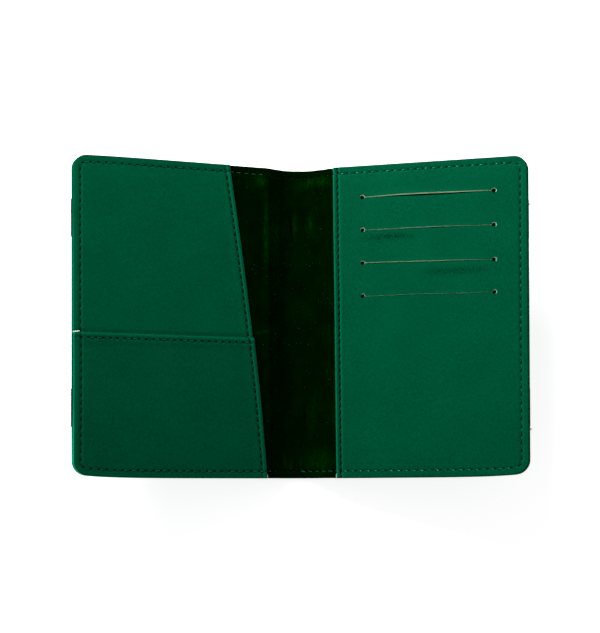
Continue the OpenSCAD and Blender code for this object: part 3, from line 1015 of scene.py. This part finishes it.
def slit_cutters():
    """Two cutters: the eight punched holes, and the four slits, whose upper lip is cut at a slant."""
    low, knee, high = CARD_UNDER - 1.0, CARD_UNDER + 0.1, CARD_TOP + 1.2
    stations, sides = 41, 28
    punch = (
        (SLIT_HOLE_R, low, -0.15, 0),
        (SLIT_HOLE_R, knee, -0.15, 0),
        (SLIT_HOLE_R + 0.2, high, 0.66, 0.25),
    )
    slit_points, slit_faces, hole_points, hole_faces = [], [], [], []
    for slit_v, gape, lip_slope, taper, drop in zip(SLIT_V, SLIT_GAPE, SLIT_LIP, SLIT_TAPER, SLIT_DROP):
        slit_faces += tube_faces(stations, 5, len(slit_points))
        for share in np.arange(stations) / (stations - 1):
            half = (0.1 + gape * math.sin(math.pi * share) ** 1.3) / 2
            lip = lip_slope * (high - knee) * (0.55 + 0.45 * min(1.0, 5 * share, 5 * (1 - share)))
            lip *= (1 - taper * share) * (1 + 0.12 * math.sin(31 * share + slit_v))
            middle_v = slit_v + 0.08 * math.sin(9 * share + slit_v) - drop * share
            section = ((-half, low), (half, low), (half, knee), (half + lip, high), (-half - 0.05, high))
            for dv, w in section:
                slit_points.append(place(RIGHT, SLIT_U + SLIT_L * share, middle_v + dv, w))
        for end in (0, 1):
            hole_faces += tube_faces(len(punch), sides, len(hole_points))
            for radius, w, shift_u, shift_v in punch:
                for turn in 2 * math.pi * np.arange(sides) / sides:
                    u = SLIT_U + SLIT_L * end + shift_u + radius * math.cos(turn)
                    v = slit_v - drop * end + shift_v + radius * math.sin(turn)
                    hole_points.append(place(RIGHT, u, v, w))
    return (
        make_object("hole_cutter", hole_points, hole_faces, [RAW]),
        make_object("slit_cutter", slit_points, slit_faces, [RAW]),
    )


def cut_by(piece, cutter):
    """Takes a cutter out of a piece. The cut faces keep the cutter's material."""
    cut = piece.modifiers.new("cut", "BOOLEAN")
    cut.operation, cut.solver, cut.object = "DIFFERENCE", "EXACT", cutter
    cut.material_mode = "TRANSFER"
    bpy.context.view_layer.update()
    graph = bpy.context.evaluated_depsgraph_get()
    mesh = bpy.data.meshes.new_from_object(piece.evaluated_get(graph))
    piece.modifiers.clear()
    piece.data = mesh
    bpy.data.objects.remove(cutter)


def rubbed_by_cards(u, v):
    """Where the ends of cards have rubbed the panel from behind: below the second and the third slit."""
    rub_marks_and_glint = np.zeros((len(u), 3))
    for slit_v, below, centre_u, half_u in ((SLIT_V[1], 3.4, 31.0, 11.0), (SLIT_V[2], 5.2, 61.0, 14.0)):
        spread = ((u - centre_u) / half_u) ** 4 + ((v - slit_v + below) / 1.6) ** 2
        rub_marks_and_glint[:, 0] = np.maximum(rub_marks_and_glint[:, 0], np.exp(-spread))
    return rub_marks_and_glint


def make_card_panel():
    beside_slit = np.array([0.02, 0.25, 0.5, 0.8, 1.2, 1.8, 2.6, 3.6])
    extra = np.concatenate([
        slit_v - drop / 2 + way * beside_slit for slit_v, drop in zip(SLIT_V, SLIT_DROP) for way in (-1, 1)
    ])
    rows = rows_between(-HALF_H, HALF_H, EDGE_STEPS, EDGE_STEPS, extra)
    seams = {"seam_edge": perimeter_seam, "seam_hem": card_seam}
    piece = panel(
        "card_panel_face", RIGHT, rows, card_u(rows), card_face, on_linings, CARD_LEATHER, seams, slack=0.58
    )
    for cutter in slit_cutters():
        cut_by(piece, cutter)
    local = on_cover(RIGHT, np.array([vertex.co for vertex in piece.data.vertices], float))
    u, v = local[:, 0], local[:, 1]
    values = {"flat": local, "rub_marks_and_glint": rubbed_by_cards(u, v), **seam_values(RIGHT, u, v, seams)}
    for key, vectors in values.items():
        store(piece.data, key, vectors)
    piece.data.set_sharp_from_angle(angle=0.7)
    return rides(piece, RIGHT, "green_leatherette", "card_panel")


def make_card_pocket(index):
    """The thin cloth pocket behind one slit."""
    margin, above, length = 2.0, 2.5, 71.0
    gap, ripple = 0.14, 0.012
    width, start_u, high = SLIT_L + 2 * margin, SLIT_U - margin, SLIT_V[index] + above
    u, v = np.meshgrid(np.linspace(start_u, start_u + width, 44), np.linspace(high - length, high, 48))
    level = LINING_TOP + gap + index * CLOTH_T
    under = level + ripple * np.sin(v / 2.3 + index) * np.sin(u / 7)
    piece = slab(
        f"card_pocket_cloth_{index + 1}", RIGHT, u, v, under + 0.9 * CLOTH_T, under, (CLOTH,) * 3
    )
    rides(piece, RIGHT, "pocket_cloth", f"card_pocket_{index + 1}")
    return piece


# ---------------- bands
WRAP_R, WRAP_U = 0.75, COVER_W - 0.85


def make_band(side, which):
    """Half of an elastic band, from the middle of the spine to the fore edge. The left one wraps round
    the edge."""
    across = np.linspace(-1, 1, 61)
    rib_height, selvedge, thinned = 0.05, 0.035, 0.75
    rib = rib_height * np.cos(across * math.pi * BAND_W / RIB_STEP)
    in_selvedge = np.clip((np.abs(across) - (1 - selvedge)) / selvedge, 0, 1)
    half_thick = BAND_T * (1 - thinned * in_selvedge**2) / 2
    level = SKIN_UNDER - BAND_T / 2
    end_u = WRAP_U if side == LEFT else COVER_W - 0.05
    flat_u = np.concatenate([np.arange(0, FOLD_S + 8, 0.8) - FOLD_S, filled(8, end_u, 2.5)])
    if side == LEFT:
        turn, back = np.radians(np.linspace(-90, 90, 15)), np.arange(0.5, 2.2, 0.5)
        u = np.concatenate([flat_u, WRAP_U + WRAP_R * np.cos(turn), WRAP_U - back])
        turned = np.concatenate([np.full(len(flat_u), -math.pi / 2), turn, np.full(len(back), math.pi / 2)])
    else:
        u = np.append(flat_u, end_u)
        turned = np.full(len(u), -math.pi / 2)
    u, turned = u[:, None], turned[:, None]
    height = level + WRAP_R * (1 + np.sin(turned))
    v = (BAND_V[which] + across * BAND_W / 2)[None, :]
    grids = []
    for sign in (1, -1):
        out = (sign * half_thick + rib)[None, :]
        grids.append(place(side, u + out * np.cos(turned), v, height + out * np.sin(turned)).reshape(-1, 3))
    middle = place(side, u, 0.0, height)[:, 0]
    lengths = np.concatenate([[0], np.cumsum(np.linalg.norm(np.diff(middle, axis=0), axis=1))]) / MM
    flat = np.stack(np.broadcast_arrays(lengths[:, None], v, 0.0), axis=-1).reshape(-1, 3)
    faces, _ = sheet_faces(len(u), len(across), side == LEFT)
    piece = make_object(
        f"{SIDE_NAME[side]}_half_band_{which}", np.concatenate(grids), faces, [ELASTIC], None,
        {"flat": np.concatenate([flat, flat])}, 1.1,
    )
    crosses_fold(piece, side, f"spine_band_{which}", f"{SIDE_NAME[side]}_band_{which}")
    return piece


# ---------------- stitches
PLY_R, PLY_STEP, PLY_SIDES, PLY_POINTS, PLY_TURNS = 0.13, 0.1, 6, 10, 1.4
STITCH_SLANT, HOLE_SHARE = 0.14, 0.12
PLY_SHARE = np.linspace(0, 1, PLY_POINTS)


def stitch_points(side, seam, number, face, looks_up, buried, crest):
    """One stitch of two twisted plies, up out of one needle hole and down into the next."""
    share = PLY_SHARE
    along = (number + HOLE_SHARE + (1 - 2 * HOLE_SHARE) * share) * seam.pitch
    places = np.array([seam.point(distance) for distance in along])
    lateral = STITCH_SLANT * (1 - 2 * share)
    u = places[:, 0] - lateral * np.sin(places[:, 2])
    v = places[:, 1] + lateral * np.cos(places[:, 2])
    level = face(u, v)
    sign = 1 if looks_up else -1
    if looks_up:
        level = np.maximum.reduce([level, np.roll(level, 1), np.roll(level, -1)])[1:-1]
        level = np.concatenate([level[:1], level, level[-1:]])
    w = level + sign * (-buried + (buried + crest) * np.minimum(1.0, 1.5 * np.sin(math.pi * share)))
    line = place(side, u, v, w)
    tangent = unit(np.gradient(line, axis=0))
    across = unit(np.cross(tangent, unit(place(side, u, v, w + 1.0) - line)))
    up = np.cross(across, tangent)
    plies = []
    for ply in (0, math.pi):
        twist = (ply + 2 * math.pi * PLY_TURNS * share)[:, None]
        middle = line + MM * PLY_STEP * (np.cos(twist) * across + np.sin(twist) * up)
        plies.append(rings_round(middle, across, up, PLY_R, PLY_SIDES).reshape(-1, 3))
    return np.concatenate(plies)


def make_stitches(
    name, side, seam, numbers, face, looks_up, material, buried=0.4, crest=0.12, tail_crest=None
):
    """A row of stitches as one piece. tail_crest is the crest in the seam's second half, if it differs."""
    points, faces = [], []
    for number in numbers:
        at_tail = tail_crest is not None and number > seam.count / 2
        height = tail_crest if at_tail else crest
        points.append(stitch_points(side, seam, number, face, looks_up, buried, height))
    for ply in range(2 * len(points)):
        faces += tube_faces(PLY_POINTS, PLY_SIDES, ply * PLY_POINTS * PLY_SIDES)
    share = np.zeros((len(points), 2 * PLY_POINTS, PLY_SIDES, 3))
    share[..., 0] = np.tile(PLY_SHARE, 2)[None, :, None]
    directions = np.array([seam.point((number + 0.5) * seam.pitch)[2] for number in numbers])
    # How far each stitch runs across the spine, which sets how much painted glint and how little painted
    # shade it gets
    share[..., 1] = (0.3 + 0.7 * np.cos(directions) ** 2)[:, None, None]
    attributes = {"share": share.reshape(-1, 3)}
    piece = make_object(name, np.concatenate(points), faces, [material], None, attributes, 1.2)
    return piece


def make_perimeter_seam(side):
    """The seam's stitches, inside and outside. Those near the fold are baked in place over the spine, and
    the rest ride on the cover."""
    seam, label, inner_face = perimeter_seam, SIDE_NAME[side], INNER_FACE[side]
    bend_end = math.ceil((FOLD_S + BEND_END_U + 0.6) / seam.pitch)
    panel_u = {LEFT: (SLANT_HEAD_U, SLANT_TAIL_U), RIGHT: (card_u(HALF_H), card_u(-HALF_H))}[side]
    panel_start, panel_end = (math.floor((FOLD_S + u) / seam.pitch) for u in panel_u)
    near = [*range(bend_end), *range(seam.count - bend_end, seam.count)]
    on_lining = [*range(bend_end, panel_start), *range(seam.count - panel_end, seam.count - bend_end)]
    on_panel = [k for k in range(bend_end, seam.count - bend_end) if k not in on_lining]
    in_pile = {"material": LINING_THREAD, "buried": 0.62, "crest": -0.1 if side == LEFT else -0.2}
    in_trough = {**in_pile, "crest": -0.3, "tail_crest": -0.2 if side == LEFT else -0.1}
    on_face = {"material": CARD_THREAD if side == RIGHT else THREAD}
    outside = {"material": THREAD}
    for kind, numbers, face, looks_up, look in (
        ("spine_stitches_inner", near, inner_face, True, in_trough),
        ("lining_stitches_inner", on_lining, inner_face, True, in_pile),
        ("panel_stitches_inner", on_panel, inner_face, True, on_face),
        ("spine_stitches_outer", near, outer_face, False, outside),
        ("perimeter_stitches_outer", sorted(on_lining + on_panel), outer_face, False, outside),
    ):
        if not numbers:
            continue
        piece = make_stitches(f"{label}_{kind}", side, seam, numbers, face, looks_up, **look)
        if numbers is near:
            crosses_fold(piece, side, "spine_stitching")
        else:
            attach(piece, COVER[side])
            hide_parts(f"{label}_perimeter_stitching")


def make_hem_seam(label, side, seam, thread):
    numbers = range(seam.count)
    piece = make_stitches(f"{label}_stitches", side, seam, numbers, INNER_FACE[side], True, thread)
    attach(piece, COVER[side])
    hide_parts(f"{label}_stitching")


# ---------------- small things
def tube(name, side, points, radius, material):
    """A thin closed tube through places given as u, v, w."""
    sides = 7
    line = np.array([place(side, *point) for point in points])
    tangent = unit(np.gradient(line, axis=0))
    first = unit(np.cross(tangent, np.array([0.31, 0.17, 0.93])))
    rings = rings_round(line, first, np.cross(tangent, first), radius, sides)
    flat = np.repeat(np.array(points, float), sides, axis=0)
    faces = tube_faces(len(line), sides)
    return make_object(name, rings.reshape(-1, 3), faces, [material], None, {"flat": flat})


def make_thread_tip(which, number):
    """A cut end of the band's sewing thread, which stands past the right fore edge."""
    v = BAND_V[which] + (6.2 if which == "upper" else -10.0) + 0.35 * number
    inside, radius = 0.8, 0.13
    reach = inside + 0.55 + 0.15 * math.sin(3.0 * number + (1 if which == "upper" else 2))
    points = [
        (COVER_W - inside + reach * t, v + 0.25 * math.sin(4 * t + number), -0.75 + 0.5 * t * t)
        for t in np.linspace(0, 1, 8)
    ]
    piece = tube(f"thread_tip_{which}_{number + 1}", RIGHT, points, radius, BLACK_THREAD)
    return rides(piece, RIGHT, "black_elastic")


def make_hem_ends():
    """Slivers of raw backing where the turned hems are cut off at the outer edge."""
    at_tail = [(-HALF_H + d, 0.1 * d) for d in (0.05, 0.6, 1.1, 1.7)]
    slanted = [(slant_u(v) - SMALL_LIP - 0.02, v, SMALL_TOP - 1.6 - sink) for v, sink in at_tail]
    card = [(card_u(v) + 0.02, v, CARD_TOP - 0.5 - sink) for v, sink in at_tail]
    small = [
        (COVER_W - d, SMALL_V + 0.02 + 0.12 * d, SLANTED_TOP + 0.28 + 0.03 * d)
        for d in (-0.35, 0.4, 1.1, 1.8, 2.5)
    ]
    for name, side, points, radius in (
        ("slanted_hem_end", LEFT, slanted, 0.24),
        ("card_panel_hem_end", RIGHT, card, 0.2),
        ("small_pocket_hem_end", LEFT, small, 0.3),
    ):
        rides(tube(name, side, points, radius, RAW), side, "green_leatherette")


# ---------------- camera, light and floor
def make_camera():
    """From above, tipped a little towards the head, through a short telephoto lens."""
    distance, focal_share, sensor = 0.754, 1650 / 633, 36.0
    camera = bpy.data.objects.new("camera", bpy.data.cameras.new("camera"))
    camera.data.sensor_width, camera.data.lens = sensor, sensor * focal_share
    camera.data.shift_x, camera.data.shift_y = 0.0027, 0.0115
    pose = Matrix.Identity(4)
    for angle, axis in ((-2.31, "Y"), (5.92, "X"), (-0.19, "Z")):
        pose = pose @ Matrix.Rotation(math.radians(angle), 4, axis)
    camera.matrix_world = pose @ Matrix.Translation((0, 0, distance))
    bpy.context.scene.collection.objects.link(camera)
    bpy.context.scene.camera = camera


def make_light():
    """One large soft light, above and beyond the head edge on the left."""
    stands_at, aim = Vector((-0.183, 0.451, 0.336)), Vector((0.2, -0.014, 0.015))
    light = bpy.data.lights.new("window", "AREA")
    light.shape, light.size, light.energy, light.spread = "DISK", 0.34, 3.86, math.radians(135)
    lamp = bpy.data.objects.new("window", light)
    lamp.location = stands_at
    lamp.rotation_euler = (aim - stands_at).to_track_quat("-Z", "Y").to_euler()
    lamp.visible_camera = False
    bpy.context.scene.collection.objects.link(lamp)


def pale_matt(name, cloud_scale, specular, glow):
    """Pale and matt, and it glows enough to come out near white."""
    n = Nodes(name)
    tone = n.noise(n.add("ShaderNodeTexCoord").outputs["Object"], cloud_scale, 2.0)
    color = n.mix(tone, (0.86, 0.86, 0.86, 1), (0.89, 0.89, 0.89, 1))
    return n.finish(
        color, 0.9, Specular_IOR_Level=specular, Emission_Color=(1, 1, 1, 1), Emission_Strength=glow
    )


def make_floor():
    half = 20.0
    corners = [(-half, -half, 0), (half, -half, 0), (half, half, 0), (-half, half, 0)]
    floor = make_object("floor", corners, [(0, 1, 2, 3)], [pale_matt("pale_floor", 3.0, 0.1, 0.75)])
    floor.location.z = -0.0002


def make_backdrop():
    """A pale wall far round the floor, which only the camera sees, so that low views have no horizon."""
    radius, height, sides = 6.0, 2.2, 96
    turns = [2 * math.pi * k / sides for k in range(sides)]
    points = [(radius * math.cos(a), radius * math.sin(a), z) for z in (-0.01, height) for a in turns]
    faces = [(k, (k + 1) % sides, sides + (k + 1) % sides, sides + k) for k in range(sides)]
    wall = make_object("backdrop", points, faces, [pale_matt("pale_backdrop", 0.05, 0.0, 0.95)])
    wall.visible_diffuse = wall.visible_glossy = wall.visible_shadow = False


def make_world():
    world = bpy.data.worlds.new("studio")
    world.use_nodes = True
    background = world.node_tree.nodes["Background"]
    background.inputs["Color"].default_value = (1, 1, 1, 1)
    background.inputs["Strength"].default_value = 0.3
    bpy.context.scene.world = world
    bpy.context.scene.view_settings.view_transform = "Standard"


# ---------------- build
make_camera()
make_world()
make_floor()
make_backdrop()
make_light()

for cover_side in (LEFT, RIGHT):
    make_skin(cover_side)
    make_board(cover_side)
    make_painted_edge(cover_side)
    make_lining(cover_side)
    make_perimeter_seam(cover_side)
    for band_name in BAND_V:
        make_band(cover_side, band_name)

make_slanted_pocket()
make_small_pocket()
make_card_panel()
for pocket_index in range(len(SLIT_V)):
    make_card_pocket(pocket_index)

make_hem_seam("slanted_hem", LEFT, slanted_seam, THREAD)
make_hem_seam("small_pocket_hem", LEFT, small_seam, THREAD)
make_hem_seam("card_panel_hem", RIGHT, card_seam, CARD_HEM_THREAD)

make_hem_ends()
for band_name in BAND_V:
    for tip in range(3):
        make_thread_tip(band_name, tip)
